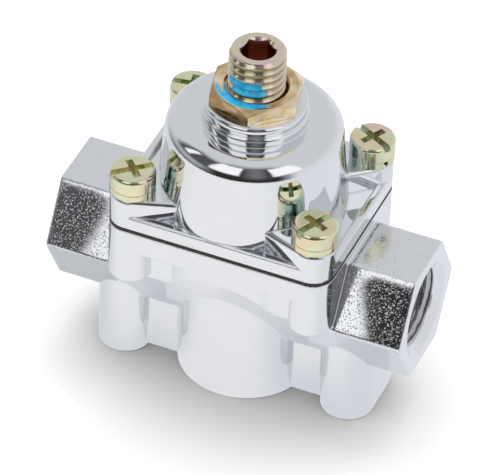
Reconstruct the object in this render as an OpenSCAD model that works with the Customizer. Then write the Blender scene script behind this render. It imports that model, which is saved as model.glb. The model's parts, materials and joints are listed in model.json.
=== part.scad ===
// Diaphragm fuel pressure regulator with two female pipe ports.
// The origin is on the axis of the dome, on the surface that the body stands on.
// +Z runs up the adjusting screw and +X runs towards the outlet port.

/* [Ports] */
// Distance over the two port faces
port_span = 68.4; // [64:0.2:80]
// Across flats of the hexagonal port bar
port_hex = 22.2; // [21:0.1:24]
// Depth of the port axis below the joint face
port_drop = 12.7; // [12.5:0.1:13.5]
// Bore of each port, at the drilling size of its pipe thread
port_bore_d = 14.8; // [13:0.1:16]
// Depth of each port bore
port_depth = 15; // [12:0.5:16]
// Lead-in chamfer at each port mouth
port_chamfer = 1.5; // [0.5:0.1:2]
// Rounding of the edges of the port bar
port_edge = 0.8; // [0.3:0.1:1.2]
// Bore of the passages behind the ports
passage_d = 4.2; // [3:0.1:4.4]

/* [Body casting] */
// Height of the joint face above the base
body_h = 36.3; // [36:0.1:40]
// Thickness of the flange rim below the joint face
body_rim = 4.3; // [3:0.1:5]
// Depth of the four screw columns below the joint face
column_depth = 12; // [11:0.1:12.4]
// Rounding of the bottom edges of the screw columns
column_edge = 1; // [0.4:0.1:1.6]
// Wall of the round bowl under the joint face
bowl_wall = 2.3; // [2:0.1:3]
// How far the bowl's sloping underside stands proud of the port bar's lower faces
underside_proud = 0.05; // [0.03:0.01:0.2]
// Radius of the valve boss under the port bar
boss_r = 12.2; // [10:0.1:12.6]
// Half width of the web that joins the boss to the feet
web_half = 4.7; // [3:0.1:6]
// Distance from the axis to the middle of each foot
foot_x = 21.9; // [20:0.1:26]
// Half thickness of a foot, which is also its end radius
foot_r = 4.9; // [4:0.1:5.4]
// Length of the straight flank of a foot
foot_straight = 8.2; // [6:0.1:9]
// Fillet between the web and the boss or a foot
web_fillet = 1.2; // [0.5:0.1:1.6]
// Rounding of the bottom edges
base_edge = 0.5; // [0.3:0.1:1]

/* [Flange] */
// Reach of the flange past the dome's foot on the port sides
flange_side = 4.2; // [4:0.1:6]
// Reach of the flange past the dome's foot on the long sides
flange_front = 0.1; // [0.1:0.1:3]
// Corner radius, centred on each screw
corner_r = 4; // [3.8:0.1:4.6]

/* [Chamber] */
// Reach of the dome's foot past the fuel chamber under the diaphragm
chamber_margin = 3.2; // [2.8:0.1:3.6]
// Depth of the fuel chamber below the joint face
chamber_depth = 5.8; // [5.4:0.1:6.4]
// Floor left between the outlet drilling and the chamber wall
outlet_edge = 1.3; // [0.6:0.1:1.8]

/* [Cover casting] */
// Height of the perimeter rim
cover_rim_h = 2.6; // [2:0.1:3.2]
// Width of the perimeter rim
cover_rim_w = 1.7; // [1.4:0.1:2]
// Rounding of the top edges of the perimeter rim
cover_rim_edge = 0.5; // [0.2:0.1:0.6]
// Height of the pocket floor inside the rim
pocket_h = 1.7; // [1.2:0.1:1.9]
// Height of the screw bosses and their webs
lug_h = 6.1; // [5:0.1:7]
// Rounding of the top edge of the screw bosses
lug_edge = 0.9; // [0.9:0.1:1.4]
// Rounding of the top edges of the webs
web_edge = 0.7; // [0.4:0.1:0.8]
// Angle at which a web meets the dome on the port side
web_angle_side = 22; // [18:1:28]
// Angle at which a web meets the dome on the long side
web_angle_front = 60; // [54:1:64]
// Dome radius at the foot
dome_r = 17.2; // [16:0.1:20]
// Draft of the dome wall in degrees
dome_draft = 4.6; // [2:0.1:5]
// Height of the flat top of the dome
dome_h = 19.3; // [19:0.1:22]
// Rounding of the dome shoulder
dome_edge = 3.6; // [2:0.1:5]
// Wall thickness of the dome
dome_wall = 2.6; // [2:0.1:2.8]
// Neck radius
neck_r = 9.6; // [9:0.1:11]
// Height of the neck above the dome top
neck_h = 3.9; // [3:0.1:6]
// Step in radius between the two rings of the neck
neck_step = 0.35; // [0.2:0.05:0.6]
// Rounding of the neck rings
neck_edge = 0.7; // [0.3:0.1:0.9]

/* [Adjuster] */
// Adjusting screw diameter
adjuster_d = 10.3; // [9:0.1:11]
// Adjusting screw length
adjuster_len = 19.3; // [18:0.1:22]
// Height of the screw above the nut
adjuster_proud = 7.8; // [6:0.1:9]
// Chamfer on both ends of the screw
adjuster_chamfer = 0.6; // [0.4:0.1:1.4]
// Across flats of the hexagon socket
socket_af = 5.6; // [4:0.1:6]
// Depth of the hexagon socket
socket_depth = 5; // [3:0.1:6]
// Across flats of the jam nut
nut_af = 15.4; // [14:0.1:17]
// Thickness of the jam nut
nut_t = 2.9; // [2:0.1:4]
// Countersink width on the jam nut
nut_sink = 0.7; // [0.3:0.1:1]
// Distance of the nut's round crown from its flats
nut_crown = 0.25; // [0.1:0.05:0.8]
// Slope of the bevel outside the nut's crown in degrees
nut_bevel = 30; // [20:1:40]
// Turn of the nut about its axis at rest
nut_turn = 43.5; // [0:0.5:60]
// Turn of the socket about its axis at rest
socket_turn = 22; // [0:0.5:60]
// Radial clearance of the screw in the neck and the nut
adjuster_gap = 0.05; // [0.02:0.01:0.1]

/* [Cover screws] */
// Thread diameter of the cover screws
screw_d = 4.8; // [4:0.1:5]
// Length of the cover screws under the head
screw_len = 17; // [15:0.1:18]
// Head diameter
head_d = 8.3; // [7.6:0.1:9]
// Head height
head_h = 3.2; // [2.8:0.1:4]
// Rounding of the head's top edge
head_edge = 0.8; // [0.4:0.1:1.2]
// Width of the slot and the cross recess
drive_w = 1.3; // [1:0.1:1.6]
// Depth of the slot across the head
slot_depth = 1.1; // [0.6:0.1:1.6]
// Depth of the cross recess
cross_depth = 2; // [1.2:0.1:2.4]
// Span of the cross recess
cross_span = 5; // [4:0.1:6]
// Radial clearance of the screws in the cover and the diaphragm
screw_gap = 0.3; // [0.15:0.05:0.4]
// Radial clearance of the screw threads in the body
thread_gap = 0.05; // [0.02:0.01:0.1]
// Room under the end of each cover screw
screw_room = 1; // [0.5:0.1:1.5]
// Thickness of a spring lock washer
washer_t = 1.3; // [1:0.1:1.6]
// Width of the split in a lock washer
washer_split = 0.7; // [0.4:0.1:1]
// Lean of the split from the upright in degrees
washer_lean = 30; // [15:1:40]

/* [Diaphragm] */
// Diaphragm thickness
diaphragm_t = 0.8; // [0.5:0.1:1]
// Gap between the fuel chamber's wall and the spring plate on top of the diaphragm
plate_gap = 1.8; // [1.4:0.1:2]
// Thickness of the spring plate
plate_t = 1.2; // [0.8:0.1:1.4]
// Height of the plate's upturned lip
plate_lip = 1.8; // [1:0.1:2.4]
// Radius of the washer below the diaphragm
backing_r = 9; // [8:0.1:10]
// Thickness of the washer below the diaphragm
backing_t = 1; // [0.8:0.1:1.1]
// Shank diameter of the rivet
rivet_d = 3.2; // [2.6:0.1:3.6]
// Head diameter of the rivet
rivet_head_d = 6; // [5:0.1:7]
// Height of the rivet's head and of its collar
rivet_head_h = 1; // [0.8:0.1:1.2]
// Stem diameter below the collar
stem_d = 2.2; // [1.8:0.1:2.6]
// Radial clearance of the rivet shank
rivet_gap = 0.1; // [0.05:0.05:0.2]

/* [Springs] */
// Wire diameter of the main spring
spring_wire = 1.6; // [1.2:0.1:1.8]
// Turns of the main spring
spring_turns = 4; // [3:0.5:4]
// Clearance of the main spring inside the plate's lip
spring_gap = 0.4; // [0.2:0.1:0.6]
// Thickness of the upper spring button
button_t = 2; // [1.5:0.1:2.4]
// Height of the boss that centres the spring on the button
button_boss_h = 2.2; // [1:0.1:3]
// Wire diameter of the valve spring
valve_wire = 0.6; // [0.4:0.05:0.7]
// Turns of the valve spring
valve_turns = 5; // [4:0.5:6]

/* [Valve] */
// Thread diameter of the valve seat
seat_d = 11; // [10:0.1:12]
// Depth of the seat thread below the chamber floor
seat_depth = 5; // [4:0.1:6]
// Across flats of the seat's hexagon head
seat_af = 13; // [12.4:0.1:14]
// Height of the seat's hexagon head
seat_head_h = 1.6; // [1.2:0.1:1.8]
// Orifice diameter through the seat
orifice_d = 4.4; // [3.6:0.1:5]
// Height of the sealing lip under the seat
lip_h = 0.6; // [0.4:0.1:0.8]
// Width of the sealing lip
lip_w = 0.7; // [0.5:0.1:1]
// Thickness of the gasket under the seat's head
gasket_t = 0.5; // [0.3:0.1:0.8]
// Valve cavity radius
cavity_r = 5; // [4.6:0.1:5.4]
// Depth of the valve cavity below the seat
cavity_depth = 13.5; // [13:0.1:15]
// Valve opening at rest
valve_lift = 1; // [0.6:0.1:1.2]
// Radial clearance of the poppet in its cavity
poppet_gap = 0.3; // [0.15:0.05:0.5]
// Poppet length
poppet_len = 8.5; // [7:0.1:9]
// Depth of the spring pocket in the poppet
poppet_pocket = 4; // [3:0.1:5]
// Wall round the spring pocket
poppet_wall = 1.2; // [0.8:0.1:1.4]
// Flow flats on the poppet, counted round it
poppet_flats = 3; // [3:1:4]
// Depth of each flow flat
flat_depth = 0.9; // [0.5:0.1:1]
// Seal radius
seal_r = 3.7; // [3.4:0.1:4]
// Seal thickness
seal_t = 1.2; // [0.8:0.1:1.4]
// Height of the seal above the poppet's rim
seal_proud = 0.5; // [0.2:0.1:0.7]
// Height of the poppet's nub above the seal
nub_proud = 0.4; // [0.2:0.1:0.8]

/* [Hidden] */
$fn = 96;

// Overlap of pieces that are joined or cut, and how far a rounding crosses the flats beside it
eps = 0.01;
crossing = 0.003;

// Half sizes of the flange, and the places of the screws
flange_x = dome_r + flange_side;
flange_y = dome_r + flange_front;
sx = flange_x - corner_r;
sy = flange_y - corner_r;

// Radii of the fuel chamber and of what lies round and in it
chamber_r = dome_r - chamber_margin;
bowl_r = chamber_r + bowl_wall;
plate_r = chamber_r - plate_gap;
outlet_hole_x = chamber_r - outlet_edge - passage_d / 2;

// Port bar
port_z = body_h - port_drop;
hex_r = port_hex / sqrt(3);
hex_slope = sqrt(3);

// Levels, from the base upwards
chamber_floor = body_h - chamber_depth;
column_z = body_h - column_depth;
cover_z = body_h + diaphragm_t;
lug_z = cover_z + lug_h;
washer_z = lug_z + washer_t;
screw_end = washer_z - screw_len;
dome_top = cover_z + dome_h;
neck_top = dome_top + neck_h;
nut_top = neck_top + nut_t;
adjuster_top = nut_top + adjuster_proud;
adjuster_tip = adjuster_top - adjuster_len;
dome_ceiling = dome_top - dome_wall - neck_edge;

// Height inside the cover's plate from which its dome, bosses, webs and rim rise
cover_base = pocket_h / 2;

// Diaphragm stack
plate_z = cover_z;
spring_seat = plate_z + plate_t;
backing_z = body_h - backing_t;
collar_z = backing_z - rivet_head_h;

// Main spring between the plate and the button
button_z = adjuster_tip - button_t;
spring_h = button_z - spring_seat;
lip_thickness = plate_t;
spring_r = plate_r - lip_thickness - spring_gap - spring_wire / 2;
spring_bore_r = spring_r - spring_wire / 2;
button_r = spring_r + spring_wire / 2;

// Valve seat, poppet and seal
seat_z = chamber_floor + gasket_t;
seat_end = chamber_floor - seat_depth;
seat_lip = seat_end - lip_h;
cavity_floor = seat_end - cavity_depth;
seal_top = seat_lip - valve_lift;
seal_z = seal_top - seal_t;
poppet_top = seal_top - seal_proud;
poppet_z = poppet_top - poppet_len;
poppet_r = cavity_r - poppet_gap;
pocket_r = poppet_r - flat_depth - poppet_wall / 2;
stem_end = seal_top + nub_proud;
valve_spring_h = poppet_z + poppet_pocket - cavity_floor;
valve_spring_r = pocket_r - poppet_gap - valve_wire / 2;

// Part of a turn laid flat at each end of a spring
flat_turn = 0.25;

// Places and rest angles of the four drive slots
CORNERS = [[-1, -1, 43], [1, -1, 65], [1, 1, -28], [-1, 1, 10]];

// Plan outline of the flange
module flange_outline() {
    square([2 * sx, 2 * flange_y], center = true);
    square([2 * flange_x, 2 * sy], center = true);
    for (c = CORNERS) translate([c[0] * sx, c[1] * sy]) circle(corner_r);
}

// Regular hexagon of a given width across flats, flats at top and bottom
module hexagon(af) {
    circle(af / sqrt(3), $fn = 6);
}

// Hexagon with rounded corners that cross their flats, flats at top and bottom
module soft_hexagon(af, edge) {
    inner = af - 2 * edge;
    side = inner / sqrt(3);
    hexagon(inner);
    for (i = [0:5]) {
        rotate(60 * i + 30) translate([0, -side / 2]) square([af / 2, side]);
        rotate(60 * i) translate([side, 0]) circle(edge + crossing);
    }
}

// Half section of an upright post with a rounded bottom edge
module post_section(r, h, edge) {
    translate([0, edge]) square([r, h - edge]);
    square([r - edge, h]);
    translate([r - edge, edge]) intersection() {
        circle(edge);
        translate([0, -edge]) square([edge, edge]);
    }
}

// Section of an upright slab with rounded bottom edges
module slab_section(half, h, edge) {
    post_section(half, h, edge);
    mirror([1, 0]) post_section(half, h, edge);
}

// Upright post with a rounded bottom edge
module post(r, h, edge) {
    rotate_extrude() post_section(r, h, edge);
}

// Upright post with a rounded top edge
module round_topped_post(r, h, edge) {
    translate([0, 0, h]) mirror([0, 0, 1]) post(r, h, edge);
}

// One foot: a post with two round ends
module foot(h) {
    for (s = [-1, 1]) translate([0, s * foot_straight / 2, 0]) post(foot_r, h, base_edge);
    rotate([90, 0, 0]) linear_extrude(foot_straight, center = true) slab_section(foot_r, h, base_edge);
}

// The four screw columns and the block between them, below the joint face
module columns() {
    for (c = CORNERS) translate([c[0] * sx, c[1] * sy, 0]) post(corner_r, column_depth, column_edge);
    rotate([90, 0, 0]) linear_extrude(2 * sy, center = true)
        slab_section(flange_x, column_depth, column_edge);
}

// Plan of the fillet between the web's +Y side and a round post, on the post's side towards side * X
module web_fillet_plan(centre, r, side) {
    rise = web_half + web_fillet - centre[1];
    middle = centre + [side * sqrt(pow(r + web_fillet, 2) - rise * rise), rise];
    inside = web_half - web_fillet;
    difference() {
        polygon([middle, [middle[0], inside], [centre[0], inside], centre]);
        translate(middle) circle(web_fillet + crossing);
    }
}

// Fillets between the web, the boss and the feet, above the rounded bottom edges
module web_fillets() {
    low = 2 * base_edge;
    translate([0, 0, low]) linear_extrude(port_z - low)
        for (x = [0, 1], y = [0, 1]) mirror([x, 0]) mirror([0, y]) {
            web_fillet_plan([0, 0], boss_r, 1);
            web_fillet_plan([foot_x, foot_straight / 2], foot_r, -1);
        }
}

// Everything above the two sloping undersides, which run on from the lower faces of the port bar
module above_undersides() {
    edge = hex_r + underside_proud;
    low = port_z - edge * hex_slope / 2;
    high = low + (flange_y - edge / 2) * hex_slope;
    rotate([90, 0, 90]) linear_extrude(2 * flange_x, center = true) polygon([
        [-edge / 2, low], [edge / 2, low], [flange_y, high],
        [flange_y, high + body_h], [-flange_y, high + body_h], [-flange_y, high]
    ]);
}

// Round wall of the fuel chamber, cut off below by the sloping undersides
module bowl() {
    bowl_low = port_z - port_edge;
    intersection() {
        translate([0, 0, bowl_low]) cylinder(r = bowl_r, h = body_h - body_rim / 2 - bowl_low);
        above_undersides();
    }
}

// Outside of the body casting
module body_outside() {
    translate([0, 0, body_h - body_rim]) linear_extrude(body_rim) flange_outline();
    translate([0, 0, column_z]) columns();
    bowl();
    translate([-port_span / 2, 0, port_z]) rotate([90, 0, 90])
        linear_extrude(port_span) soft_hexagon(port_hex, port_edge);
    post(boss_r, port_z, base_edge);
    rotate([90, 0, 90]) linear_extrude(2 * foot_x, center = true) slab_section(web_half, port_z, base_edge);
    for (s = [-1, 1]) translate([s * foot_x, 0, 0]) foot(port_z - foot_r);
    web_fillets();
}

// Bore of one port, opening towards +X
module port_bore() {
    face = port_span / 2;
    translate([face - port_depth, 0, port_z]) rotate([0, 90, 0])
        cylinder(d = port_bore_d, h = port_depth + eps);
    translate([face - port_chamfer, 0, port_z]) rotate([0, 90, 0])
        cylinder(r1 = port_bore_d / 2, r2 = port_bore_d / 2 + port_chamfer, h = port_chamfer);
}

// Passages, chamber, valve cavity and screw holes of the body
module body_inside() {
    port_end = port_span / 2 - port_depth;
    port_bore();
    mirror([1, 0, 0]) port_bore();
    translate([-port_end - eps, 0, port_z]) rotate([0, 90, 0]) cylinder(d = passage_d, h = port_end);
    translate([outlet_hole_x, 0, port_z]) {
        rotate([0, 90, 0]) cylinder(d = passage_d, h = port_end - outlet_hole_x + eps);
        sphere(d = passage_d);
        cylinder(d = passage_d, h = chamber_floor - port_z + eps);
    }
    translate([0, 0, chamber_floor]) cylinder(r = chamber_r, h = chamber_depth + eps);
    translate([0, 0, seat_end]) cylinder(r = seat_d / 2 + thread_gap, h = seat_depth + eps);
    translate([0, 0, cavity_floor]) cylinder(r = cavity_r, h = seat_end - cavity_floor + eps);
    for (c = CORNERS) translate([c[0] * sx, c[1] * sy, screw_end - screw_room])
        cylinder(r = screw_d / 2 + thread_gap, h = body_h - screw_end + screw_room + eps);
}

module body() {
    color("gainsboro") difference() {
        body_outside();
        body_inside();
    }
}

// Point where a line from p touches the circle at c on the given side
function touch_point(p, c, r, side) =
    let (d = c - p, reach = norm(d), run = sqrt(reach * reach - r * r))
    let (turn = atan2(d[1], d[0]) + side * asin(r / reach))
    p + run * [cos(turn), sin(turn)];

// Radius of the dome wall at a height above the cover's joint face
function dome_wall_r(h) = dome_r - h * tan(dome_draft);

// One side of a web: a slab with a rounded top edge, from the screw boss at centre to a point of the dome
module web_side(centre, end, side) {
    run = end - touch_point(end, centre, corner_r, side);
    translate(centre) rotate(atan2(run[1], run[0])) mirror([0, side > 0 ? 1 : 0, 0]) rotate([90, 0, 90])
        linear_extrude(norm(run) + dome_wall) translate([0, lug_h]) mirror([0, 1])
            post_section(corner_r - eps, lug_h - cover_base, web_edge);
}

// Web between one screw boss and the dome, in the first quadrant
module web() {
    reach = dome_wall_r(lug_h) - eps;
    centre = [sx, sy];
    low = reach * [cos(web_angle_side), sin(web_angle_side)];
    high = reach * [cos(web_angle_front), sin(web_angle_front)];
    web_side(centre, low, -1);
    web_side(centre, high, 1);
    translate([0, 0, cover_base]) linear_extrude(lug_h - cover_base - eps)
        polygon([[0, 0], (low + centre) / 2, centre, (high + centre) / 2]);
}

// Straight bar of the perimeter rim along X, with rounded top edges
module rim_bar(length) {
    rotate([90, 0, 90]) linear_extrude(length, center = true)
        translate([0, cover_rim_h]) mirror([0, 1])
            slab_section(cover_rim_w / 2, cover_rim_h - cover_base, cover_rim_edge);
}

// Half section of the dome and neck, filled to the axis
module dome_section() {
    shoulder_h = dome_h - dome_edge;
    shoulder_r = dome_wall_r(shoulder_h) - dome_edge;
    polygon([
        [0, cover_base], [dome_wall_r(cover_base), cover_base],
        [shoulder_r + dome_edge, shoulder_h], [shoulder_r, shoulder_h], [shoulder_r, dome_h], [0, dome_h]
    ]);
    translate([shoulder_r, shoulder_h]) intersection() {
        circle(dome_edge);
        square(dome_edge);
    }
    translate([0, dome_h]) neck_ring_section(neck_r, neck_h / 2);
    translate([0, dome_h]) neck_ring_section(neck_r - neck_step, neck_h);
}

// Half section of one neck ring with a rounded top edge
module neck_ring_section(r, h) {
    square([r, h - neck_edge]);
    square([r - neck_edge, h]);
    translate([r - neck_edge, h - neck_edge]) intersection() {
        circle(neck_edge);
        square(neck_edge);
    }
}

// Half section of the spring chamber inside the cover
module bell_section() {
    bell_h = dome_ceiling - cover_z;
    top_r = dome_wall_r(dome_h - dome_edge) - dome_wall;
    round_r = dome_edge - neck_edge;
    translate([0, -eps]) square([chamber_r, cover_rim_h + eps]);
    polygon([
        [0, 0], [chamber_r, 0], [chamber_r, cover_rim_h], [top_r, bell_h - round_r], [0, bell_h - round_r]
    ]);
    square([top_r - round_r, bell_h]);
    translate([top_r - round_r, bell_h - round_r]) intersection() {
        circle(round_r);
        square(round_r);
    }
}

module cover() {
    color("gainsboro") translate([0, 0, cover_z]) difference() {
        union() {
            linear_extrude(pocket_h) flange_outline();
            for (s = [-1, 1]) {
                translate([0, s * (flange_y - cover_rim_w / 2), 0]) rim_bar(2 * sx);
                translate([s * (flange_x - cover_rim_w / 2), 0, 0]) rotate(90) rim_bar(2 * sy);
            }
            rotate_extrude() dome_section();
            for (c = CORNERS) translate([c[0] * sx, c[1] * sy, cover_base])
                round_topped_post(corner_r, lug_h - cover_base, lug_edge);
            for (x = [0, 1], y = [0, 1]) mirror([x, 0, 0]) mirror([0, y, 0]) web();
        }
        rotate_extrude() bell_section();
        cylinder(r = adjuster_d / 2 + adjuster_gap, h = dome_h + neck_h + eps);
        for (c = CORNERS) translate([c[0] * sx, c[1] * sy, -eps])
            cylinder(r = screw_d / 2 + screw_gap, h = lug_h + 2 * eps);
    }
}

module diaphragm() {
    color("dimgray") translate([0, 0, body_h]) linear_extrude(diaphragm_t) difference() {
        flange_outline();
        circle(rivet_d / 2 + rivet_gap);
        for (c = CORNERS) translate([c[0] * sx, c[1] * sy]) circle(screw_d / 2 + screw_gap);
    }
}

// Dished plate that carries the main spring
module diaphragm_plate() {
    color("silver") translate([0, 0, plate_z]) difference() {
        cylinder(r = plate_r, h = plate_t + plate_lip);
        translate([0, 0, plate_t]) cylinder(r = plate_r - lip_thickness, h = plate_lip + eps);
        translate([0, 0, -eps]) cylinder(r = rivet_d / 2 + rivet_gap, h = plate_t + 2 * eps);
    }
}

module diaphragm_washer() {
    color("silver") translate([0, 0, backing_z]) difference() {
        cylinder(r = backing_r, h = backing_t);
        translate([0, 0, -eps]) cylinder(r = rivet_d / 2 + rivet_gap, h = backing_t + 2 * eps);
    }
}

// Rivet that clamps the stack and reaches down to the valve
module diaphragm_rivet() {
    color("goldenrod") {
        translate([0, 0, spring_seat]) cylinder(d = rivet_head_d, h = rivet_head_h);
        translate([0, 0, collar_z]) cylinder(d = rivet_d, h = spring_seat - collar_z + eps);
        translate([0, 0, collar_z]) cylinder(d = rivet_head_d, h = rivet_head_h);
        translate([0, 0, stem_end]) cylinder(d = stem_d, h = collar_z - stem_end + eps);
    }
}

// Height of a coil's centre line after some turns, with part of a turn laid flat at each end
function coil_z(t, turns, height, wire) =
    let (climb = (t - flat_turn) / (turns - 2 * flat_turn))
    wire / 2 + (height - wire) * min(1, max(0, climb));

// Round wire wound into a coil that fills the given height
module coil(mean_r, wire, height, turns, sides, steps) {
    rings = turns * steps;
    points = [for (i = [0:rings]) for (k = [0:sides - 1])
        let (t = i / steps, a = 360 * t, b = 360 * k / sides, r = mean_r + wire / 2 * cos(b))
        [r * cos(a), r * sin(a), coil_z(t, turns, height, wire) + wire / 2 * sin(b)]];
    skin = [for (i = [0:rings - 1]) for (k = [0:sides - 1])
        let (n = (k + 1) % sides)
        [i * sides + k, (i + 1) * sides + k, (i + 1) * sides + n, i * sides + n]];
    start = [[for (k = [0:sides - 1]) k]];
    finish = [[for (k = [sides - 1:-1:0]) rings * sides + k]];
    polyhedron(points, concat(skin, start, finish), convexity = 6);
}

module main_spring() {
    color("slategray") translate([0, 0, spring_seat])
        coil(spring_r, spring_wire, spring_h, spring_turns, sides = 12, steps = 20);
}

// Button between the adjusting screw and the main spring
module spring_button() {
    color("silver") translate([0, 0, button_z]) {
        cylinder(r = button_r, h = button_t);
        translate([0, 0, -button_boss_h])
            cylinder(r = spring_bore_r - spring_gap, h = button_boss_h + eps);
    }
}

module adjusting_screw() {
    r = adjuster_d / 2;
    color("rosybrown") translate([0, 0, adjuster_tip]) difference() {
        rotate_extrude() polygon([
            [0, 0], [r - adjuster_chamfer, 0], [r, adjuster_chamfer],
            [r, adjuster_len - adjuster_chamfer], [r - adjuster_chamfer, adjuster_len], [0, adjuster_len]
        ]);
        translate([0, 0, adjuster_len - socket_depth]) rotate(socket_turn)
            linear_extrude(socket_depth + eps) hexagon(socket_af);
    }
}

module jam_nut() {
    bore_r = adjuster_d / 2 + adjuster_gap;
    crown_r = nut_af / 2 - nut_crown;
    color("peru") translate([0, 0, neck_top]) difference() {
        intersection() {
            rotate(nut_turn) linear_extrude(nut_t) hexagon(nut_af);
            cylinder(r1 = crown_r + nut_t / tan(nut_bevel), r2 = crown_r, h = nut_t);
        }
        translate([0, 0, -eps]) cylinder(r = bore_r, h = nut_t + 2 * eps);
        translate([0, 0, nut_t - nut_sink])
            cylinder(r1 = bore_r, r2 = bore_r + nut_sink, h = nut_sink + eps);
    }
}

// One cheese-head screw with a slot and a cross recess, head resting at z = 0
module cover_screw(turn) {
    difference() {
        union() {
            round_topped_post(head_d / 2, head_h, head_edge);
            translate([0, 0, -screw_len]) cylinder(d = screw_d, h = screw_len + eps);
        }
        rotate(turn) {
            translate([-head_d / 2, -drive_w / 2, head_h - slot_depth])
                cube([head_d, drive_w, slot_depth + eps]);
            for (a = [0, 90]) rotate(a) translate([-cross_span / 2, -drive_w / 2, head_h - cross_depth])
                cube([cross_span, drive_w, cross_depth + eps]);
        }
    }
}

module cover_screws() {
    color("darkkhaki") for (c = CORNERS) translate([c[0] * sx, c[1] * sy, washer_z])
        cover_screw(c[2]);
}

// One split spring washer resting at z = 0
module lock_washer(turn) {
    split_h = 2 * washer_t / cos(washer_lean);
    difference() {
        cylinder(d = head_d, h = washer_t);
        translate([0, 0, -eps]) cylinder(r = screw_d / 2 + screw_gap, h = washer_t + 2 * eps);
        rotate(turn) translate([head_d / 2, 0, washer_t / 2]) rotate([washer_lean, 0, 0])
            cube([head_d, washer_split, split_h], center = true);
    }
}

module lock_washers() {
    color("darkkhaki") for (c = CORNERS) translate([c[0] * sx, c[1] * sy, lug_z]) lock_washer(c[2]);
}

// Brass seat screwed into the chamber floor
module valve_seat() {
    color("goldenrod") difference() {
        union() {
            translate([0, 0, seat_z]) linear_extrude(seat_head_h) hexagon(seat_af);
            translate([0, 0, seat_end]) cylinder(d = seat_d, h = seat_z - seat_end + eps);
            translate([0, 0, seat_lip]) cylinder(d = orifice_d + 2 * lip_w, h = lip_h + eps);
        }
        translate([0, 0, seat_lip - eps])
            cylinder(d = orifice_d, h = seat_z + seat_head_h - seat_lip + 2 * eps);
    }
}

module seat_gasket() {
    color("sienna") translate([0, 0, chamber_floor]) difference() {
        cylinder(d = seat_af, h = gasket_t);
        translate([0, 0, -eps]) cylinder(r = seat_d / 2 + thread_gap, h = gasket_t + 2 * eps);
    }
}

// Poppet guided by its cavity, with flats for the fuel to pass and a pocket for its spring
module valve_poppet() {
    color("silver") difference() {
        union() {
            translate([0, 0, poppet_z]) difference() {
                cylinder(r = poppet_r, h = poppet_len);
                for (i = [0:poppet_flats - 1]) rotate(360 * i / poppet_flats)
                    translate([poppet_r - flat_depth, -poppet_r, -eps])
                        cube([poppet_r, 2 * poppet_r, poppet_len + 2 * eps]);
                translate([0, 0, seal_z - poppet_z]) cylinder(r = seal_r, h = poppet_len);
            }
            translate([0, 0, seal_z - eps]) cylinder(d = stem_d, h = stem_end - seal_z + eps);
        }
        translate([0, 0, poppet_z - eps]) cylinder(r = pocket_r, h = poppet_pocket + eps);
    }
}

module poppet_seal() {
    color("dimgray") translate([0, 0, seal_z]) difference() {
        cylinder(r = seal_r, h = seal_t);
        translate([0, 0, -eps]) cylinder(d = stem_d, h = seal_t + 2 * eps);
    }
}

module valve_spring() {
    color("slategray") translate([0, 0, cavity_floor])
        coil(valve_spring_r, valve_wire, valve_spring_h, valve_turns, sides = 8, steps = 16);
}

body();
cover();
diaphragm();
diaphragm_plate();
diaphragm_washer();
diaphragm_rivet();
main_spring();
spring_button();
adjusting_screw();
jam_nut();
cover_screws();
lock_washers();
valve_seat();
seat_gasket();
valve_poppet();
poppet_seal();
valve_spring();
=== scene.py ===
"""Looks of a chromed diaphragm fuel pressure regulator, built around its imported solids."""

import json
import math

import bmesh
import bpy
from mathutils import Matrix, Vector


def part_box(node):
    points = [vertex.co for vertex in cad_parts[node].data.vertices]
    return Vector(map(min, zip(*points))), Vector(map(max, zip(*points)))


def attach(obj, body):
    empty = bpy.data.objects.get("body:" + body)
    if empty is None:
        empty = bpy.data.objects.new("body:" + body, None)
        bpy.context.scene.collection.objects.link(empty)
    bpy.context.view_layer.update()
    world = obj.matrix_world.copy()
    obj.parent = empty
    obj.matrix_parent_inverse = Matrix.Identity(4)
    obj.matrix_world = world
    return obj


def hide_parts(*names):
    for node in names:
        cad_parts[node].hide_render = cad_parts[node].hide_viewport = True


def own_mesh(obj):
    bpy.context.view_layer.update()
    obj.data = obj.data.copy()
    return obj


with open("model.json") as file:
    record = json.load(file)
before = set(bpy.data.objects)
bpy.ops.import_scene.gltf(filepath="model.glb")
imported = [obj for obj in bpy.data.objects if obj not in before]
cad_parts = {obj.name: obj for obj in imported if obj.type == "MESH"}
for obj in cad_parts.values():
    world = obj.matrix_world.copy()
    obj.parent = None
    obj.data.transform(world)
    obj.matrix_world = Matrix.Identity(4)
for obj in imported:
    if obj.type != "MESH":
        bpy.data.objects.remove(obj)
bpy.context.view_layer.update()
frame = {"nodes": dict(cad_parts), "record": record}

# Lengths are in metres
MM = 0.001


def port_mount(name):
    return next(m for m in frame["record"]["mounts"] if m["name"] == name)


def coupling_ratio(joint):
    return next(c["ratio"] for c in frame["record"]["behaviour"]["couplings"] if c["joint"] == joint)


# Levels and radii, read from the frame
BODY_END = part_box("body")[1].x
COVER_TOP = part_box("cover")[1].z
NUT_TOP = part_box("jam_nut")[1].z
FLANGE_LOW, FLANGE_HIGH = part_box("diaphragm")
SCREW_LOW, SCREW_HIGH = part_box("adjusting_screw")
SCREW_R = SCREW_HIGH.x
JOINT_Z = (FLANGE_LOW.z + FLANGE_HIGH.z) / 2
PORT_Z = port_mount("outlet_port")["pos_m"][2]

# Threads
ADJUSTER_PITCH = math.tau / coupling_ratio("adjuster_turn")
ADJUSTER_THREAD_DEPTH = 0.55 * MM
PORT_PITCH = 1.41 * MM
PORT_THREAD_DEPTH = 0.6 * MM
PORT_CHAMFER = 1.5 * MM
PORT_RUN_IN = 1.5 * PORT_PITCH
PORT_RUN_OUT = 0.3 * PORT_PITCH
SLEEVE_WALL = 0.02 * MM
THREAD_TURN_STEPS = 120
THREAD_PITCH_STEPS = 14
THREAD_CREST = 0.12
THREAD_FLANK = 0.76
THREAD_SMOOTH_LIMIT = math.radians(35)

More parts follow.
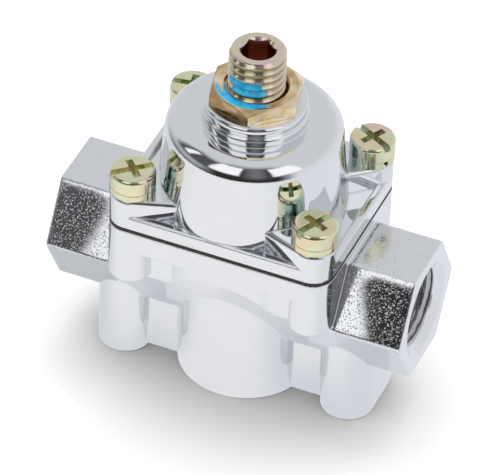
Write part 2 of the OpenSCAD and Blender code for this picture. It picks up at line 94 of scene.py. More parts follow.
# End of the adjusting screw
SCREW_CHAMFER = 0.6 * MM
SOCKET_AF = 5.6 * MM
SOCKET_TURN = math.radians(22)
SOCKET_DEPTH = 5.0 * MM
SOCKET_MOUTH_R = 3.4 * MM

# Soft forms of the castings that show only in their normals, and where the cast grain is left
PORT_FLAT = 11.1 * MM
PORT_FLAT_TOLERANCE = 0.2 * MM
PORT_ROLL = 0.17
PORT_ROLL_POWER = 5.0
PORT_LEAN = 0.15
PORT_LEAN_SLANT = 0.45
NECK_RING_H = 1.95 * MM
NECK_BASE = COVER_TOP - 2 * NECK_RING_H
NECK_REACH = 10.5 * MM
NECK_ROLL = 0.45
NECK_WIDEST = 0.3
JOINT_FLASH = 2.6

# Rounding of edges in the normals, and heights of the finishes' relief
CHROME_EDGE = 0.55 * MM
CHROME_PEEL = 0.003 * MM
CAST_GRAIN = 0.010 * MM
ZINC_EDGE = 0.3 * MM
STAMPED_DENTS = 0.03 * MM
PLATED_GRAIN = 0.008 * MM
PAINT_THICKNESS = 0.04 * MM
RUBBER_WEAVE = 0.03 * MM
TURNED_RINGS = 0.01 * MM
FIBRE_STRANDS = 0.04 * MM

# Dabs of blue paint: azimuths in degrees, then radii and heights over the nut's top in millimetres
NUT_DAB = ((-149, -57), (5.0, 7.4), (-0.5, 1.0))
SCREW_DAB = ((-132, -56), (4.0, 6.0), (0.6, 3.6))
DAB_EDGE = 0.3 * MM
DAB_EDGE_ANGLE = math.radians(4)
DAB_RAGGED_ANGLE = math.radians(75)

# Camera, fitted to the photograph's frame
IMAGE_WIDTH_PX = 502
FOCAL_PX = 5885
CAMERA_AZIMUTH = math.radians(21.38)
CAMERA_ELEVATION = math.radians(40.04)
CAMERA_ROLL = math.radians(-2.60)
CAMERA_DISTANCE = 1.0476
CAMERA_FAR = 20
AIM_RIGHT = 0.224 * MM
AIM_UP = -6.719 * MM
SENSOR_MM = 36.0


class NodeTree:
    """A material's node tree with short calls for the nodes that the finishes share."""

    def __init__(self, name):
        self.material = bpy.data.materials.new(name)
        self.material.use_nodes = True
        self.tree = self.material.node_tree
        self.shader = self.tree.nodes["Principled BSDF"]

    def node(self, kind, **values):
        made = self.tree.nodes.new("ShaderNode" + kind)
        for key, value in values.items():
            setattr(made, key, value)
        return made

    def link(self, source, target):
        self.tree.links.new(source, target)

    def feed(self, socket, value):
        if isinstance(value, bpy.types.NodeSocket):
            self.link(value, socket)
        else:
            socket.default_value = value

    def place(self):
        return self.node("TexCoord").outputs["Object"]

    def facing(self):
        return self.axes(self.node("TexCoord").outputs["Normal"])

    def axes(self, vector):
        made = self.node("SeparateXYZ")
        self.link(vector, made.inputs[0])
        return made.outputs

    def math(self, operation, a, b=0.0, clamp=False):
        made = self.node("Math", operation=operation, use_clamp=clamp)
        self.feed(made.inputs[0], a)
        self.feed(made.inputs[1], b)
        return made.outputs[0]

    def length(self, a, b):
        squares = self.math("ADD", self.math("MULTIPLY", a, a), self.math("MULTIPLY", b, b))
        return self.math("SQRT", squares)

    def unit(self, vector):
        made = self.node("VectorMath", operation="NORMALIZE")
        self.link(vector, made.inputs[0])
        return made.outputs[0]

    def noise(self, scale, detail=2.0, roughness=0.5, stretch=None):
        """Noise with about scale cells to the metre."""
        made = self.node("TexNoise")
        source = self.place()
        if stretch:
            mapping = self.node("Mapping")
            mapping.inputs["Scale"].default_value = stretch
            self.link(source, mapping.inputs["Vector"])
            source = mapping.outputs["Vector"]
        self.link(source, made.inputs["Vector"])
        made.inputs["Scale"].default_value = scale
        made.inputs["Detail"].default_value = detail
        made.inputs["Roughness"].default_value = roughness
        return made.outputs["Fac"]

    def span(self, value, low, high, to_low=0.0, to_high=1.0):
        """Smooth step from to_low to to_high as value goes from low to high."""
        made = self.node("MapRange", interpolation_type="SMOOTHSTEP")
        for socket, number in zip(made.inputs, (value, low, high, to_low, to_high)):
            self.feed(socket, number)
        return made.outputs["Result"]

    def mix(self, factor, first, second):
        made = self.node("Mix", data_type="RGBA")
        self.feed(made.inputs[0], factor)
        self.feed(made.inputs[6], first)
        self.feed(made.inputs[7], second)
        return made.outputs[2]

    def ramp(self, factor, stops):
        made = self.node("ValToRGB")
        elements = made.color_ramp.elements
        while len(elements) < len(stops):
            elements.new(0.5)
        for element, (position, colour) in zip(elements, stops):
            element.position = position
            element.color = (*colour, 1.0)
        self.feed(made.inputs[0], factor)
        return made.outputs["Color"]

    def bump(self, height, distance, normal=None):
        made = self.node("Bump")
        made.inputs["Distance"].default_value = distance
        made.inputs["Strength"].default_value = 1.0
        self.feed(made.inputs["Height"], height)
        if normal is not None:
            self.link(normal, made.inputs["Normal"])
        return made.outputs["Normal"]

    def soft_edges(self, radius):
        made = self.node("Bevel", samples=6)
        made.inputs["Radius"].default_value = radius
        return made.outputs["Normal"]

    def colour(self):
        """What feeds the shader's colour so far."""
        return self.shader.inputs["Base Color"].links[0].from_socket

    def set(self, **values):
        for name, value in values.items():
            self.feed(self.shader.inputs[name.replace("_", " ")], value)
        return self.material

    def replace_shader(self, surface):
        """Put another surface in the place of the shader."""
        self.tree.nodes.remove(self.shader)
        self.link(surface, self.tree.nodes["Material Output"].inputs["Surface"])
        return self.material


def rgb(red, green, blue):
    return (red, green, blue, 1.0)


def grey(level):
    return rgb(level, level, level)


# The third chrome colour is painted shade, for the lower flats of the port bar
CHROME_DULL, CHROME_BRIGHT, CHROME_UNDERSIDE_SHADE = rgb(0.76, 0.775, 0.80), rgb(0.80, 0.81, 0.83), rgb(0.58, 0.59, 0.61)
SCREW_INWARD = rgb(0.36, 0.56, 0.48)
# Painted shade for the screw's thread valleys and for its socket
THREAD_VALLEY_SHADE, SOCKET_SHADE = rgb(0.40, 0.38, 0.18), rgb(0.42, 0.22, 0.15)
PAINT_DEEP, PAINT_LIGHT = rgb(0.01, 0.42, 0.78), rgb(0.05, 0.60, 0.88)
RUBBER_DARK, RUBBER_LIGHT = rgb(0.015, 0.015, 0.016), rgb(0.075, 0.073, 0.07)
FIBRE_DARK, FIBRE_LIGHT = rgb(0.22, 0.10, 0.06), rgb(0.42, 0.22, 0.14)

# Tints of the plated finishes, each a position along the tint's wander and a colour
YELLOW_TINTS = (
    (0.28, (0.80, 0.62, 0.54)), (0.40, (0.80, 0.70, 0.44)), (0.50, (0.70, 0.77, 0.53)),
    (0.60, (0.80, 0.76, 0.50)), (0.74, (0.80, 0.70, 0.52)),
)
GOLD_TINTS = ((0.28, (0.46, 0.31, 0.14)), (0.5, (0.78, 0.60, 0.35)), (0.70, (0.95, 0.82, 0.66)))
ROSE_TINTS = ((0.3, (0.72, 0.58, 0.50)), (0.5, (0.74, 0.66, 0.52)), (0.68, (0.75, 0.58, 0.55)))


# Chrome
def port_bar_mask(t, x, y, up):
    """1 on the flats of the hexagonal port bar outside the flange, short of its end faces."""
    sixth = math.radians(60)
    rise = t.math("ABSOLUTE", up)
    slant = t.math("MULTIPLY", t.math("ABSOLUTE", y), math.sin(sixth))
    slanting = t.math("ADD", slant, t.math("MULTIPLY", rise, math.cos(sixth)))
    on_flat = t.math("COMPARE", t.math("MAXIMUM", rise, slanting), PORT_FLAT)
    on_flat.node.inputs[2].default_value = PORT_FLAT_TOLERANCE
    out = t.math("ABSOLUTE", x)
    beyond = t.span(out, FLANGE_HIGH.x, FLANGE_HIGH.x + 0.6 * MM)
    short_of_end = t.span(out, BODY_END - 0.5 * MM, BODY_END, 1.0, 0.0)
    return t.math("MULTIPLY", t.math("MULTIPLY", beyond, short_of_end), on_flat)


def port_bar_lean(t, x, up):
    """Upward lean of the port bar's upper flats: rolled over at the top edge, and raised beside the body."""
    from_middle = t.math("SUBTRACT", t.math("MULTIPLY", up, 2 / PORT_FLAT), 1.0)
    above_middle = t.math("MAXIMUM", from_middle, 0.0)
    rolled = t.math("MULTIPLY", t.math("POWER", above_middle, PORT_ROLL_POWER), PORT_ROLL)
    reach = t.math("ADD", t.math("ABSOLUTE", x), t.math("MULTIPLY", up, PORT_LEAN_SLANT))
    beside = t.span(reach, FLANGE_HIGH.x + 3 * MM, FLANGE_HIGH.x + 11 * MM, PORT_LEAN, 0.0)
    return t.math("MULTIPLY", t.math("ADD", rolled, beside), t.math("GREATER_THAN", up, 0.0))


def neck_lean(t, x, y, z):
    """Lean of the neck's two rings, which are slightly barrelled."""
    near = t.math("LESS_THAN", t.length(x, y), NECK_REACH)
    above = t.math("GREATER_THAN", z, NECK_BASE)
    part = t.math("FRACT", t.math("DIVIDE", t.math("SUBTRACT", z, NECK_BASE), NECK_RING_H))
    rolled = t.math("MULTIPLY", t.math("SUBTRACT", part, NECK_WIDEST), NECK_ROLL)
    return t.math("MULTIPLY", rolled, t.math("MULTIPLY", near, above))


def leaning_normal(t, lift):
    """The rounded normal with lift added to its upward part."""
    lean = t.node("CombineXYZ")
    t.link(lift, lean.inputs["Z"])
    leant = t.node("VectorMath", operation="ADD")
    t.link(t.soft_edges(CHROME_EDGE), leant.inputs[0])
    t.link(lean.outputs[0], leant.inputs[1])
    return t.unit(leant.outputs[0])


def joint_flash_mask(t, y, z):
    """Strength of the grain along the front and back of the joint, in patches left rough by the mould."""
    from_joint = t.math("ABSOLUTE", t.math("SUBTRACT", z, JOINT_Z))
    beside_joint = t.span(from_joint, 0.5 * MM, 1.6 * MM, 1.0, 0.0)
    on_side = t.math("GREATER_THAN", t.math("ABSOLUTE", y), FLANGE_HIGH.y - 1 * MM)
    patches = t.math("MULTIPLY", t.span(t.noise(260), 0.45, 0.58), JOINT_FLASH)
    return t.math("MULTIPLY", t.math("MULTIPLY", beside_joint, on_side), patches)


def underside_painted_shade(t, x, up, port):
    """Painted shade: a darker, duller base colour on the lower flats of the port bar, most at the inlet, for
    the shadowed floor they mirror.
    """
    under = t.math("MULTIPLY", port, t.math("LESS_THAN", up, 0.0))
    return t.math("MULTIPLY", under, t.span(x, -FLANGE_HIGH.x, FLANGE_HIGH.x, 1.0, 0.15))


def chrome_finish():
    """Mirror chrome, with cast grain left on the flats of the port bar and along the joint."""
    t = NodeTree("chrome_casting")
    x, y, z = t.axes(t.place())
    up = t.math("SUBTRACT", z, PORT_Z)
    port = port_bar_mask(t, x, y, up)
    smudge = t.noise(220, 3.0)
    bright = t.mix(smudge, CHROME_DULL, CHROME_BRIGHT)
    # Base colour: random smudges, with painted shade on the lower flats of the port bar
    t.set(Metallic=1.0, Base_Color=t.mix(underside_painted_shade(t, x, up, port), bright, CHROME_UNDERSIDE_SHADE))
    smeared = t.span(smudge, 0.35, 0.75, 0.02, 0.06)
    on_top = t.span(up, PORT_FLAT - 0.6 * MM, PORT_FLAT - 0.2 * MM, 0.06, 0.11)
    t.set(Roughness=t.math("ADD", smeared, t.math("MULTIPLY", port, on_top)))
    port_lean = t.math("MULTIPLY", port_bar_lean(t, x, up), port)
    normal = leaning_normal(t, t.math("ADD", port_lean, neck_lean(t, x, y, z)))
    peel = t.bump(t.noise(420, 1.0), CHROME_PEEL, normal)
    clusters = t.span(t.noise(380), 0.38, 0.6, 2.0, 6.0)
    pips = t.math("MULTIPLY", t.span(t.noise(3300, 1.0), 0.55, 0.8), clusters)
    grain = t.math("ADD", pips, t.noise(900))
    rough_cast = t.math("MAXIMUM", port, joint_flash_mask(t, y, z))
    return t.set(Normal=t.bump(t.math("MULTIPLY", grain, rough_cast), CAST_GRAIN, peel))


# Plated steel and paint
def zinc_finish(name, tints, painted_reflection_shift=0.12, extra_shift=None):
    """Plated steel whose tint wanders over the surface, as chromate plating does, with painted reflection:
    faces turned towards +X, and a little towards +Y, move along the tints, on the gold nut to lighter ones.
    """
    t = NodeTree(name)
    facing = t.facing()
    # Painted reflection: the tint follows which way a face turns, as if a lit window showed in it
    painted_reflection_side = t.math("ADD", facing[0], t.math("MULTIPLY", facing[1], 0.4))
    wander = t.math("ADD", t.noise(240), t.math("MULTIPLY", painted_reflection_side, painted_reflection_shift))
    if extra_shift:
        wander = t.math("ADD", wander, extra_shift(t))
    t.set(Metallic=1.0, Base_Color=t.ramp(wander, tints))
    t.set(Roughness=t.span(t.noise(900), 0.3, 0.7, 0.12, 0.24))
    stamped = t.bump(t.noise(450), STAMPED_DENTS, t.soft_edges(ZINC_EDGE))
    t.set(Normal=t.bump(t.noise(1500), PLATED_GRAIN, stamped))
    return t


def screw_tint(t):
    """Shift of tint from screw to screw: pinker at the back right, yellower on the left."""
    x, y, _ = t.axes(t.place())
    at_back_right = t.math("MULTIPLY", t.math("GREATER_THAN", x, 0.0), t.math("GREATER_THAN", y, 0.0))
    pinker = t.math("MULTIPLY", at_back_right, -0.15)
    yellower = t.math("MULTIPLY", t.math("LESS_THAN", x, 0.0), 0.07)
    return t.math("ADD", pinker, yellower)


def inward_facing(t):
    """Cosine between a surface's normal and the way to the part's upright axis."""
    x, y, _ = t.axes(t.place())
    facing = t.facing()
    outward = t.math("ADD", t.math("MULTIPLY", facing[0], x), t.math("MULTIPLY", facing[1], y))
    return t.math("MULTIPLY", t.math("DIVIDE", outward, t.length(x, y)), -1.0)


def yellow_zinc_finish():
    """Yellow plate, greener on the sides that face the dome."""
    t = zinc_finish("yellow_zinc", YELLOW_TINTS, extra_shift=screw_tint)
    greener = t.span(inward_facing(t), 0.2, 0.9, 0.0, 0.75)
    return t.set(Base_Color=t.mix(greener, t.colour(), SCREW_INWARD))


def paint_mask(t, dab):
    """Mask of a brushed dab of paint on an arc about the screw's axis, ragged where the brush came off."""
    azimuths, radii, heights = dab
    x, y, z = t.axes(t.place())
    angle = t.math("ARCTAN2", y, x)
    radius = t.length(x, y)
    strokes = t.node("CombineXYZ")
    t.link(t.math("MULTIPLY", angle, 2.0), strokes.inputs[0])
    t.link(t.math("MULTIPLY", t.math("ADD", radius, z), 1100.0), strokes.inputs[1])
    streaks = t.node("TexNoise")
    t.link(strokes.outputs[0], streaks.inputs["Vector"])
    streaks.inputs["Scale"].default_value = 1.0
    streak = streaks.outputs["Fac"]
    ragged = t.math("MULTIPLY", t.math("SUBTRACT", streak, 0.5), DAB_RAGGED_ANGLE)
    mask = t.math("MULTIPLY", streak, 2.6, clamp=True)
    for value, (low, high), edge in (
        (t.math("ADD", angle, ragged), map(math.radians, azimuths), DAB_EDGE_ANGLE),
        (radius, (r * MM for r in radii), DAB_EDGE),
        (z, (NUT_TOP + h * MM for h in heights), DAB_EDGE),
    ):
        mask = t.math("MULTIPLY", mask, t.span(value, low - edge, low + edge))
        mask = t.math("MULTIPLY", mask, t.span(value, high - edge, high + edge, 1.0, 0.0))
    return mask


def painted(t, dab):
    """Lay a dab of paint over a plated finish."""
    mask = paint_mask(t, dab)
    paint = t.mix(t.span(t.noise(900), 0.35, 0.65), PAINT_DEEP, PAINT_LIGHT)
    t.set(Base_Color=t.mix(mask, t.colour(), paint), Metallic=t.math("SUBTRACT", 1.0, mask))
    plated = t.shader.inputs["Normal"].links[0].from_socket
    return t.set(Normal=t.bump(mask, PAINT_THICKNESS, plated))


def gold_zinc_finish():
    # The nut's faces turned towards +X get the lighter gold tints, a painted reflection
    return painted(zinc_finish("gold_zinc", GOLD_TINTS, painted_reflection_shift=0.3), NUT_DAB)


# Mask for painted shade in the socket, from none just under the screw's end to full 1.6 mm down
def socket_painted_shade_mask(t):
    x, y, z = t.axes(t.place())
    within = t.math("LESS_THAN", t.length(x, y), SOCKET_MOUTH_R)
    below_end = t.span(z, SCREW_HIGH.z - 1.6 * MM, SCREW_HIGH.z - 0.4 * MM, 1.0, 0.0)
    return t.math("MULTIPLY", within, below_end)


def thread_valleys(t):
    """Mask for painted shade: 1 in the valleys of the adjusting screw's thread, short of the end chamfer."""
    x, y, z = t.axes(t.place())
    radius = t.length(x, y)
    near_root, near_crest = (SCREW_R - share * ADJUSTER_THREAD_DEPTH for share in (0.8, 0.2))
    outside = t.span(radius, SCREW_R - 1.4 * MM, SCREW_R - 1.2 * MM)
    outside = t.math("MULTIPLY", outside, t.math("LESS_THAN", z, SCREW_HIGH.z - SCREW_CHAMFER))
    return t.math("MULTIPLY", outside, t.math("SUBTRACT", 1.0, t.span(radius, near_root, near_crest)))


def rose_zinc_finish():
    """Pink on the crests, with painted shade: dark olive in the valleys of the thread, and dark brown in the
    socket.
    """
    t = zinc_finish("rose_zinc", ROSE_TINTS)
    # Painted shade: dark olive in the thread's valleys
    valley_shaded = t.mix(thread_valleys(t), t.colour(), THREAD_VALLEY_SHADE)
    # Painted shade: dark brown down in the socket
    t.set(Base_Color=t.mix(socket_painted_shade_mask(t), valley_shaded, SOCKET_SHADE))
    return painted(t, SCREW_DAB)


# Rubber, turned metal and fibre
def rubber_finish():
    t = NodeTree("black_rubber")
    weave = t.noise(1800)
    t.set(Base_Color=t.mix(t.span(weave, 0.4, 0.65), RUBBER_DARK, RUBBER_LIGHT))
    return t.set(Roughness=t.span(weave, 0.3, 0.7, 0.55, 0.8), Normal=t.bump(weave, RUBBER_WEAVE))


def turned_finish(name, first, second, rough):
    """Turned or stamped metal with fine rings about the axis."""
    t = NodeTree(name)
    rings = t.noise(700, stretch=(1.0, 1.0, 6.0))
    t.set(Metallic=1.0, Base_Color=t.mix(rings, rgb(*first), rgb(*second)))
    return t.set(Roughness=t.span(rings, 0.3, 0.7, rough, rough + 0.15), Normal=t.bump(rings, TURNED_RINGS))


def fibre_finish():
    t = NodeTree("fibre")
    strands = t.noise(1400, 4.0, 0.6)
    t.set(Base_Color=t.mix(strands, FIBRE_DARK, FIBRE_LIGHT))
    return t.set(Roughness=t.span(strands, 0.3, 0.7, 0.7, 0.9), Normal=t.bump(strands, FIBRE_STRANDS))


FINISHES = {
    "chrome_casting": chrome_finish(),
    "yellow_zinc": yellow_zinc_finish(),
    "gold_zinc": gold_zinc_finish(),
    "rose_zinc": rose_zinc_finish(),
    "black_rubber": rubber_finish(),
    "steel": turned_finish("steel", (0.44, 0.44, 0.45), (0.57, 0.57, 0.58), 0.22),
    "spring_steel": turned_finish("spring_steel", (0.34, 0.35, 0.37), (0.46, 0.47, 0.49), 0.25),
    "brass": turned_finish("brass", (0.66, 0.50, 0.24), (0.76, 0.60, 0.34), 0.2),
    "fibre": fibre_finish(),
}


# Solids carried over from the frame
def shade_like_the_solid(obj, limit=math.radians(24), digits=7):
    """Smooth normals over each run of faces that meet at less than limit, across face borders too."""
    mesh = obj.data
    mesh.polygons.foreach_set("use_smooth", [True] * len(mesh.polygons))
    around = {}
    for polygon in mesh.polygons:
        corners = [mesh.vertices[v].co for v in polygon.vertices]
        for i, v in enumerate(polygon.vertices):
            before, here, after = corners[i - 1], corners[i], corners[(i + 1) % len(corners)]
            angle = (before - here).angle(after - here, 0.0)
            around.setdefault(mesh.vertices[v].co.to_tuple(digits), []).append((polygon.normal, angle))
    normals = []
    for polygon in mesh.polygons:
        for v in polygon.vertices:
            total = Vector()
            for normal, angle in around[mesh.vertices[v].co.to_tuple(digits)]:
                if normal.angle(polygon.normal, 0.0) < limit:
                    total += normal * angle
            normals.append(total.normalized() if total.length else polygon.normal)
    mesh.normals_split_custom_set(normals)


def finish_node(name, slot):
    obj = frame["nodes"][name]
    obj.data.materials.clear()
    obj.data.materials.append(FINISHES[slot])
    shade_like_the_solid(obj)


for subpart in frame["record"]["subparts"]:
    finish_node(subpart["node"], subpart["material_slot"])


# Making of meshes and objects
def new_object(name, data):
    obj = bpy.data.objects.new(name, data)
    bpy.context.scene.collection.objects.link(obj)
    return obj


def new_piece(name, mesh, slot, body):
    mesh.update()
    obj = new_object(name, mesh)
    obj.data.materials.append(FINISHES[slot])
    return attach(obj, body)


def mesh_from(bm, name):
    mesh = bpy.data.meshes.new(name)
    bm.to_mesh(mesh)
    bm.free()
    return mesh


def ring(bm, radius, height):
    """A ring of points about the axis, its radius and height numbers or functions of the angle."""
    points = []
    for i in range(THREAD_TURN_STEPS):
        angle = math.tau * i / THREAD_TURN_STEPS
        r = radius(angle) if callable(radius) else radius
        z = height(angle) if callable(height) else height
        points.append(bm.verts.new((r * math.cos(angle), r * math.sin(angle), z)))
    return points


def skin(bm, rings):
    """Quads between each ring and the next."""
    for lower, upper in zip(rings, rings[1:]):
        for i in range(len(lower)):
            n = (i + 1) % len(lower)
            bm.faces.new((lower[i], lower[n], upper[n], upper[i]))


def fan(bm, points, centre, up):
    """Triangles from a ring to its centre, facing up or down."""
    middle = bm.verts.new(centre)
    for i in range(len(points)):
        n = (i + 1) % len(points)
        bm.faces.new((points[i], points[n], middle) if up else (points[n], points[i], middle))


def thread_wave(phase):
    """Depth of a rounded 60 degree thread at a phase of its pitch, from 0 at the crest to 1 at the root."""
    ramp = abs(2.0 * (phase % 1.0) - 1.0)
    return min(1.0, max(0.0, (ramp - THREAD_CREST) / THREAD_FLANK))


def smooth_thread(obj):
    obj.data.polygons.foreach_set("use_smooth", [True] * len(obj.data.polygons))
    obj.data.set_sharp_from_angle(angle=THREAD_SMOOTH_LIMIT)


# Adjusting screw with its thread and hexagon socket
def hexagon_radius(angle, across_flats):
    """Distance from the middle of a hexagon to its edge, with a corner at angle 0."""
    sixth = math.radians(60)
    from_flat = (angle % sixth) - sixth / 2
    return across_flats / 2 / math.cos(from_flat)


def adjusting_screw_mesh():
    bm = bmesh.new()
    length = SCREW_HIGH.z - SCREW_LOW.z
    steps = int(length / ADJUSTER_PITCH * THREAD_PITCH_STEPS)
    rings = []
    for k in range(steps + 1):
        z = SCREW_LOW.z + length * k / steps
        from_end = min(z - SCREW_LOW.z, SCREW_HIGH.z - z)
        limit = SCREW_R - SCREW_CHAMFER + min(from_end, SCREW_CHAMFER)

        def radius(angle, z=z, limit=limit):
            phase = (z - SCREW_LOW.z) / ADJUSTER_PITCH - angle / math.tau
            return min(limit, SCREW_R - ADJUSTER_THREAD_DEPTH * thread_wave(phase))

        rings.append(ring(bm, radius, z))

    def socket(angle):
        return hexagon_radius(angle - SOCKET_TURN, SOCKET_AF)

    top = SCREW_HIGH.z
    rings.append(ring(bm, SOCKET_MOUTH_R, top))
    rings.append(ring(bm, socket, lambda angle: top - (SOCKET_MOUTH_R - socket(angle))))
    rings.append(ring(bm, socket, top - SOCKET_DEPTH))
    skin(bm, rings)
    fan(bm, rings[-1], (0, 0, top - SOCKET_DEPTH), True)
    fan(bm, rings[0], (0, 0, SCREW_LOW.z), False)
    return mesh_from(bm, "adjusting_screw_thread")


screw = new_piece("adjusting_screw_threaded", adjusting_screw_mesh(), "rose_zinc", "adjuster")
smooth_thread(screw)
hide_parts("adjusting_screw")


# Main spring, which in the regulator shortens as the adjusting screw goes in; here a copy of the solid's mesh
# that rides with the diaphragm stack
def add_main_spring():
    mesh = frame["nodes"]["main_spring"].data.copy()
    mesh.materials.clear()
    spring = new_piece("main_spring_coil", mesh, "spring_steel", "diaphragm_stack")
    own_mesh(spring)
    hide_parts("main_spring")


add_main_spring()


# Pipe threads inside the ports
def port_thread_mesh(mount):
    """A sleeve against the port's wall whose inside carries the pipe thread, along the mount's axis."""
    wall = mount["dims"]["r_mm"] * MM
    length = mount["dims"]["length_mm"] * MM
    steps = int(length / PORT_PITCH * THREAD_PITCH_STEPS)
    bm = bmesh.new()
    rings = []
    for k in range(steps + 1):
        z = length * k / steps
        ramp = min(1.0, z / PORT_RUN_IN, (length - z) / PORT_RUN_OUT)

        def radius(angle, z=z, ramp=ramp):
            phase = z / PORT_PITCH - angle / math.tau
            return wall - SLEEVE_WALL - PORT_THREAD_DEPTH * ramp * (1.0 - thread_wave(phase))

        rings.append(ring(bm, radius, z))
    skin(bm, [list(reversed(r)) for r in rings])
    outer = [ring(bm, wall + SLEEVE_WALL, 0.0), ring(bm, wall + SLEEVE_WALL, length)]
    skin(bm, outer)
    skin(bm, [rings[0], outer[0]])
    skin(bm, [outer[1], rings[-1]])
    axis = Vector(mount["axis"])
    inner_end = Vector((BODY_END - length - PORT_CHAMFER, 0, mount["pos_m"][2]))
    inner_end.x *= axis.x
    turn = Vector((0, 0, 1)).rotation_difference(axis).to_matrix().to_4x4()
    bm.transform(Matrix.Translation(inner_end) @ turn)
    bmesh.ops.recalc_face_normals(bm, faces=bm.faces)
    return mesh_from(bm, mount["name"] + "_thread")


for port_name in ("inlet_port", "outlet_port"):
    thread = new_piece(port_name + "_thread", port_thread_mesh(port_mount(port_name)), "steel", "housing")
    smooth_thread(thread)


# Studio
FLOOR_SIZE = 4.0
FLOOR_WHITE = 1.2
FLOOR_BOUNCE = 0.2
FLOOR_EVENNESS = 0.9
FLOOR_WHITE_TURN = math.radians(30)
FLOOR_LEFT, FLOOR_RIGHT = rgb(0.76, 0.78, 0.82), rgb(0.84, 0.855, 0.90)
TENT_RADIUS = 0.25
TENT_Z = 0.05
TENT_SEGMENTS = 48
TENT_RINGS = 24
LAMP_DISTANCE = 1.4
LAMP_ELEVATION = math.radians(70)
LAMP_SIZE = 0.8
WORLD_LEVEL = 0.9
TOWARD_CAMERA = CAMERA_AZIMUTH - math.radians(90)

# Patches of the tent, laid over each other: degrees to the right of the camera, degrees above the horizon,
# width of the soft edge in degrees, and colour
TENT_PALE, TENT_DARK, TENT_WHITE = rgb(0.72, 0.73, 0.75), grey(0.03), grey(1.15)
TENT_PATCHES = (
    ((40, 170), (-40, 15), 30, rgb(0.85, 0.85, 0.87)),
    ((-56, 42), (-40, 66), 30, TENT_DARK),
    ((-118, -20), (-40, 0), 40, TENT_DARK),
    ((-8, 16), (10, 62), 22, rgb(0.2, 0.2, 0.21)),
    ((-106, -50), (12, 58), 16, rgb(0.10, 0.10, 0.11)),
    ((-94, -84), (22, 50), 5, TENT_WHITE),
    ((-54, -16), (19, 60), 5, TENT_WHITE),
    ((24, 60), (17, 58), 5, TENT_WHITE),
)


def direction_of(azimuth, elevation):
    """Unit vector at an azimuth from +X and an elevation above the horizon."""
    flat = math.cos(elevation)
    return Vector((math.cos(azimuth) * flat, math.sin(azimuth) * flat, math.sin(elevation)))


def add_camera():
    back = direction_of(TOWARD_CAMERA, CAMERA_ELEVATION)
    right = direction_of(CAMERA_AZIMUTH, 0)
    up = back.cross(right)
    cos_roll, sin_roll = math.cos(CAMERA_ROLL), math.sin(CAMERA_ROLL)
    image_right = cos_roll * right - sin_roll * up
    image_up = sin_roll * right + cos_roll * up
    aim = Vector((0, 0, JOINT_Z)) + right * AIM_RIGHT + up * AIM_UP
    data = bpy.data.cameras.new("camera")
    data.sensor_fit = "HORIZONTAL"
    data.sensor_width = SENSOR_MM
    data.lens = SENSOR_MM * FOCAL_PX / IMAGE_WIDTH_PX
    data.clip_end = CAMERA_FAR
    camera = new_object("camera", data)
    place = Matrix((image_right, image_up, back)).transposed().to_4x4()
    place.translation = aim + back * CAMERA_DISTANCE
    camera.matrix_world = place
    bpy.context.scene.camera = camera


def first_sight(t, path):
    """1 for rays that have met no diffuse surface yet, so that what chrome shows doesn't light the floor."""
    return t.math("LESS_THAN", path.outputs["Diffuse Depth"], 0.5)


def floor_as_mirrored(t):
    """Colour of the floor in the chrome: white in front and to the left of it, greyer to the sides."""
    x, y, _ = t.axes(t.place())
    reach = t.length(x, y)

    def along(angle):
        across, ahead = t.math("MULTIPLY", x, math.cos(angle)), t.math("MULTIPLY", y, math.sin(angle))
        return t.math("DIVIDE", t.math("ADD", across, ahead), reach)

    side = t.mix(t.span(along(CAMERA_AZIMUTH), -0.9, 0.9), FLOOR_LEFT, FLOOR_RIGHT)
    return t.mix(t.span(along(TOWARD_CAMERA - FLOOR_WHITE_TURN), 0.2, 0.9), side, grey(1))


def floor_material():
    """Pale floor that takes the object's shadow, and that chrome shows as a more even white."""
    t = NodeTree("studio_floor")
    path = t.node("LightPath")
    direct = first_sight(t, path)
    shown = t.mix(path.outputs["Is Camera Ray"], grey(1), grey(FLOOR_WHITE))
    diffuse = t.node("BsdfDiffuse")
    t.link(t.mix(direct, grey(FLOOR_BOUNCE), shown), diffuse.inputs["Color"])
    glow = t.node("Emission")
    t.link(floor_as_mirrored(t), glow.inputs["Color"])
    mirrored = t.math("ADD", path.outputs["Is Glossy Ray"], path.outputs["Is Transmission Ray"], clamp=True)
    mirrored = t.math("MULTIPLY", mirrored, direct)
    both = t.node("MixShader")
    t.link(t.math("MULTIPLY", mirrored, FLOOR_EVENNESS), both.inputs[0])
    t.link(diffuse.outputs[0], both.inputs[1])
    t.link(glow.outputs[0], both.inputs[2])
    return t.replace_shader(both.outputs[0])


def add_floor():
    half = FLOOR_SIZE / 2
    corners = [(-half, -half, 0), (half, -half, 0), (half, half, 0), (-half, half, 0)]
    mesh = bpy.data.meshes.new("floor")
    mesh.from_pydata(corners, [], [(0, 1, 2, 3)])
    mesh.materials.append(floor_material())
    new_object("floor", mesh)


def add_world():
    """Even white light from all round."""
    world = bpy.data.worlds.new("studio")
    world.use_nodes = True
    bpy.context.scene.world = world
    background = world.node_tree.nodes["Background"]
    background.inputs["Color"].default_value = grey(1)
    background.inputs["Strength"].default_value = WORLD_LEVEL


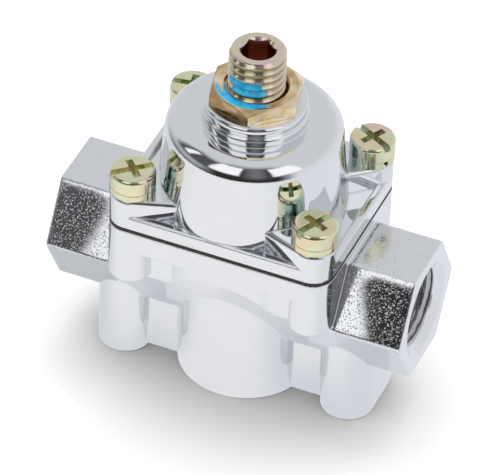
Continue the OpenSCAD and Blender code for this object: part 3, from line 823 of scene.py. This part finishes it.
def tent_material():
    """Inside of the light tent: pale all round, dark towards the camera, with soft windows of light there."""
    t = NodeTree("light_tent")
    x, y, z = t.axes(t.unit(t.place()))
    azimuth = t.math("ARCTAN2", y, x)
    elevation = t.math("ARCSINE", z)

    def patch_mask(azimuths, elevations, soft):
        mask = 1.0
        for value, (low, high) in ((azimuth, azimuths), (elevation, elevations)):
            low, high, half = math.radians(low), math.radians(high), math.radians(soft / 2)
            mask = t.math("MULTIPLY", mask, t.span(value, low - half, low + half))
            mask = t.math("MULTIPLY", mask, t.span(value, high - half, high + half, 1.0, 0.0))
        return mask

    level = TENT_PALE
    for azimuths, elevations, soft, colour in TENT_PATCHES:
        level = t.mix(patch_mask(azimuths, elevations, soft), level, colour)
    glow = t.node("Emission")
    t.link(level, glow.inputs["Color"])
    t.link(first_sight(t, t.node("LightPath")), glow.inputs["Strength"])
    return t.replace_shader(glow.outputs[0])


def add_tent():
    """A light tent that only reflections see, with its +X axis turned towards the camera."""
    bm = bmesh.new()
    bmesh.ops.create_uvsphere(bm, u_segments=TENT_SEGMENTS, v_segments=TENT_RINGS, radius=TENT_RADIUS)
    mesh = mesh_from(bm, "light_tent")
    mesh.materials.append(tent_material())
    tent = new_object("light_tent", mesh)
    tent.location.z = TENT_Z
    tent.rotation_euler.z = TOWARD_CAMERA
    tent.visible_camera = False
    tent.visible_diffuse = False
    tent.visible_shadow = False


def add_lamp(name, azimuth, power):
    """A square soft lamp that the chrome doesn't see, since the tent is what it mirrors."""
    direction = direction_of(TOWARD_CAMERA + math.radians(azimuth), LAMP_ELEVATION)
    data = bpy.data.lights.new(name, "AREA")
    data.shape = "SQUARE"
    data.size = LAMP_SIZE
    data.energy = power
    lamp = new_object(name, data)
    lamp.location = direction * LAMP_DISTANCE
    lamp.rotation_euler = direction.to_track_quat("Z", "Y").to_euler()
    lamp.visible_glossy = False


add_camera()
add_floor()
add_world()
add_tent()
add_lamp("lamp_left", azimuth=-140, power=2.4)
add_lamp("lamp_right", azimuth=150, power=2.0)
bpy.context.scene.view_settings.view_transform = "Standard"
